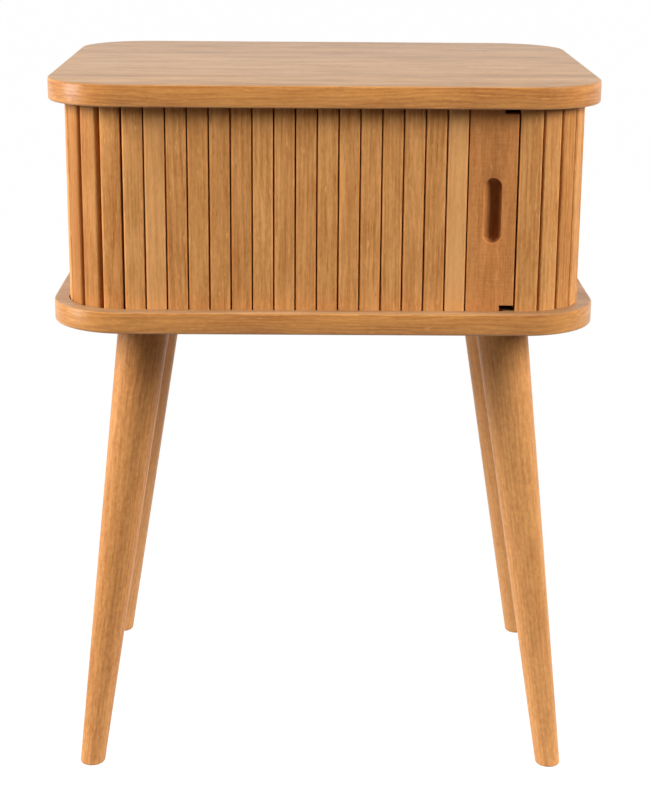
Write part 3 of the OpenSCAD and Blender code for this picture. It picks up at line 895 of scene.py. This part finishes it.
class TABLE_OT_canvas(TableOperator, Operator):
    """Makes the canvas behind the slats, in the pieces that fold with them"""
    bl_idname = "table.canvas"
    bl_label = "Canvas"

    def execute(self, context):
        look = context.scene.table_finish
        material = cloth("canvas_weave", tuple(look.canvas))
        half = PITCH / 2
        for i in (*range(1, CORNER_SLATS + 1), *range(LAST_CURTAIN + 1, SLAT_TOTAL + 1)):
            place = chord_place(i)
            ends = [place @ Vector((x, 0, 0)) for x in (half - CANVAS_JOINT,
                                                       CANVAS_JOINT - half)]
            self.strip(f"canvas_{i:02d}", f"slat_{i:02d}", ends,
                                     (i - 1) * PITCH + CANVAS_JOINT, material)
        left, joint = Vector((FRONT_END, FRONT_Y - HINGE_R, 0)), Vector((CANVAS_JOINT, 0, 0))
        self.strip("canvas_lead", "door_lead", [
            left + Vector((SLAT_GAP / 2 + LEAD_REBATE, 0, 0)) - joint, left + joint],
            -LEAD_REBATE, material)
        points = [track_point(i) for i in range(CORNER_SLATS, LAST_CURTAIN + 1)
                  if i == CORNER_SLATS or i >= FRONT_SLATS
                  and (i <= FRONT_SLATS + CORNER_SLATS or i == LAST_CURTAIN)]
        points[0] = points[0] - joint
        points[-1] = points[-1] - Vector((0, CANVAS_JOINT, 0))
        curtain = self.strip("canvas_curtain", "curtain", points,
                             CORNER_SLATS * PITCH + CANVAS_JOINT, material)
        return {"FINISHED"}

    @staticmethod
    def strip(node, body, points, start, material):
        """Cloth of CANVAS_T that stands on its edge along some points of the floor plan."""
        low, high = FLOOR_Z + CANVAS_MARGIN, CEILING_Z - CANVAS_MARGIN
        way = points[1] - points[0]
        rest_hands()
        bpy.ops.mesh.primitive_plane_add(size=1)
        piece = bpy.context.object
        turn = Matrix.Rotation(math.atan2(way.y, way.x), 4, "Z") \
            @ Matrix.Rotation(math.pi / 2, 4, "X")
        middle = (points[0] + points[1]) / 2 + Vector((0, 0, (low + high) / 2))
        piece.matrix_world = Matrix.Translation(middle) @ turn @ Matrix.Diagonal(
            (way.length, high - low, 1, 1))
        settle(piece, node + "_cloth")
        for here, there in zip(points[1:], points[2:]):
            pick(piece, "EDGE", lambda ends: upright(ends) and (ends[0] - here).xy.length < HAIR)
            bpy.ops.mesh.extrude_region_move(TRANSFORM_OT_translate={
                "value": (there.x - here.x, there.y - here.y, 0)})
            bpy.ops.object.mode_set(mode="OBJECT")
        reached = [start]
        for here, there in zip(points, points[1:]):
            reached.append(reached[-1] + (there - here).length)

        def along(co):
            nearest = min(range(len(points)), key=lambda k: (points[k].xy - co.xy).length)
            return reached[nearest]
        mark(piece, "weave", [Vector((along(p.co), p.co.z, 0)) for p in piece.data.vertices])
        hold(piece)
        bpy.ops.object.mode_set(mode="EDIT")
        bpy.ops.mesh.select_all(action="SELECT")
        bpy.ops.mesh.normals_make_consistent(inside=False)
        bpy.ops.object.mode_set(mode="OBJECT")
        facing = piece.data.polygons[0].normal.xy.dot(-middle.xy) > 0
        wall = piece.modifiers.new("Cloth", "SOLIDIFY")
        wall.thickness, wall.offset, wall.use_even_offset = CANVAS_T, 1 if facing else -1, True
        bpy.ops.object.modifier_apply(modifier=wall.name)
        return dress(piece, material, body, "canvas", node)


class TABLE_OT_inside(TableOperator, Operator):
    """Finishes the inner walls, the back panel and the hidden fittings"""
    bl_idname = "table.inside"
    bl_label = "Inner walls and fittings"

    def execute(self, context):
        look = context.scene.table_finish
        walls = wood("inner_oak", tuple(look.panel_light), tuple(look.panel_dark),
                     place=((0, 0, 0), (0.09, 0.21, 0)), ring=3.8 * MM, rough=0.6, tone=False)
        for node in ("liner", "fixed_backing", "back_panel"):
            paint_node(node, walls)
        paint_node("leg_bolts", metal("zinc", (0.62, 0.63, 0.65), 0.3))
        paint_node("leg_inserts", metal("yellow_brass", (0.72, 0.55, 0.28), 0.3))
        return {"FINISHED"}


class TABLE_OT_stage(TableOperator, Operator):
    """Sets up the camera, the pale floor and the soft studio light"""
    bl_idname = "table.stage"
    bl_label = "Studio"

    def execute(self, context):
        studio = context.scene.table_stage
        self.camera(context)
        self.floor(tuple(studio.floor), tuple(studio.far_floor))
        for name, place, size, power, shine in LAMPS:
            self.lamp(name, place, size, getattr(studio, power), shine)
        self.surroundings(context, studio.sky)
        context.scene.view_settings.view_transform = "Standard"
        return {"FINISHED"}

    @staticmethod
    def camera(context):
        """A camera above the table and in front of it, a little left of its middle."""
        yaw, pitch, roll = (math.radians(angle) for angle in CAMERA_TURN)
        ahead = Vector((math.sin(yaw) * math.cos(pitch), math.cos(yaw) * math.cos(pitch),
                        -math.sin(pitch)))
        right = Vector((math.cos(yaw), -math.sin(yaw), 0))
        up = right.cross(ahead)
        right, up = (math.cos(roll) * right + math.sin(roll) * up,
                     math.cos(roll) * up - math.sin(roll) * right)
        data = bpy.data.cameras.new("photo_camera")
        data.sensor_fit = "VERTICAL"
        data.sensor_width = data.sensor_height = SENSOR
        data.lens = FOCAL_LENGTH / FRAME_HEIGHT * SENSOR
        data.clip_end = 100
        view = bpy.data.objects.new("photo_camera", data)
        context.scene.collection.objects.link(view)
        view.matrix_world = Matrix((right, up, -ahead)).transposed().to_4x4()
        view.location = CAMERA_PLACE
        context.scene.camera = view

    @staticmethod
    def floor(near_colour, far_colour):
        """A floor that is pale under the table, and which the camera sees nearly white."""
        rest_hands()
        bpy.ops.mesh.primitive_plane_add(size=FLOOR_SIZE)
        ground = bpy.context.object
        ground.name = ground.data.name = "floor"
        paint = Paint(bpy.data.materials.new("pale_floor"))
        here = paint.node("ShaderNodeTexCoord", out="Object")
        off = paint.node("ShaderNodeVectorMath", {"operation": "LENGTH"}, {0: here}, out=1)
        far = paint.ramp(off + paint.noise(here, (2, 2, 2)) * 0.05, NEAR_FLOOR, FAR_FLOOR)
        matt = paint.node("ShaderNodeBsdfDiffuse", {}, {
            "Color": paint.blend(far, near_colour, far_colour)})
        glow = paint.node("ShaderNodeEmission", {}, {
            "Color": (1, 1, 1, 1), "Strength": FLOOR_GLOW})
        ground.data.materials.append(paint.finish(paint.node("ShaderNodeMixShader", {}, {
            0: paint.background_rays() * GLOW_SHARE, 1: matt, 2: glow})))
        rest_hands()

    @staticmethod
    def lamp(name, place, size, power, shine):
        """A softbox aimed at the cabinet; without shine, no surface mirrors it."""
        data = bpy.data.lights.new(name, "AREA")
        data.shape, data.energy = "RECTANGLE", power
        data.size, data.size_y = size
        lamp = bpy.data.objects.new(name, data)
        bpy.context.scene.collection.objects.link(lamp)
        lamp.location = place
        lamp.visible_camera, lamp.visible_glossy = False, shine
        way = LAMP_AIM - Vector(place)
        lamp.rotation_euler = way.to_track_quat("-Z", "Y").to_euler()

    @staticmethod
    def surroundings(context, strength):
        """A room that is white to look at and lights the table with a given strength."""
        context.scene.world = bpy.data.worlds.new("white_room")
        paint = Paint(context.scene.world)
        sky = paint.node("ShaderNodeBackground", {}, {
            "Color": (1, 1, 1, 1),
            "Strength": paint.background_rays() * (1 - strength) + strength})
        paint.node("ShaderNodeOutputWorld", {}, {0: sky})


class TABLE_PT_panel(Panel):
    """Lists the pieces of the table, with their settings"""
    bl_idname = "TABLE_PT_panel"
    bl_label = "Bedside table"
    bl_space_type = "VIEW_3D"
    bl_region_type = "UI"
    bl_category = "Bedside table"

    def draw(self, context):
        for group in (context.scene.table_shape, context.scene.table_finish,
                      context.scene.table_stage):
            box = self.layout.box()
            for name in group.__annotations__:
                box.prop(group, name)
        for operator in OPERATORS:
            self.layout.operator(operator.bl_idname)


SETTINGS = {"table_shape": TableShape, "table_finish": TableFinish, "table_stage": TableStage}
OPERATORS = (TABLE_OT_stage, TABLE_OT_boards, TABLE_OT_door_slats, TABLE_OT_fixed_slats,
             TABLE_OT_lead_slat, TABLE_OT_legs, TABLE_OT_canvas, TABLE_OT_inside)


def register():
    for entry in (*SETTINGS.values(), *OPERATORS, TABLE_PT_panel):
        bpy.utils.register_class(entry)
    for name, group in SETTINGS.items():
        setattr(bpy.types.Scene, name, PointerProperty(type=group))


def unregister():
    for name in SETTINGS:
        delattr(bpy.types.Scene, name)
    for entry in reversed((*SETTINGS.values(), *OPERATORS, TABLE_PT_panel)):
        bpy.utils.unregister_class(entry)


def main():
    register()
    for operator in OPERATORS:
        group, name = operator.bl_idname.split(".")
        getattr(getattr(bpy.ops, group), name)()


if __name__ == "__main__":
    main()
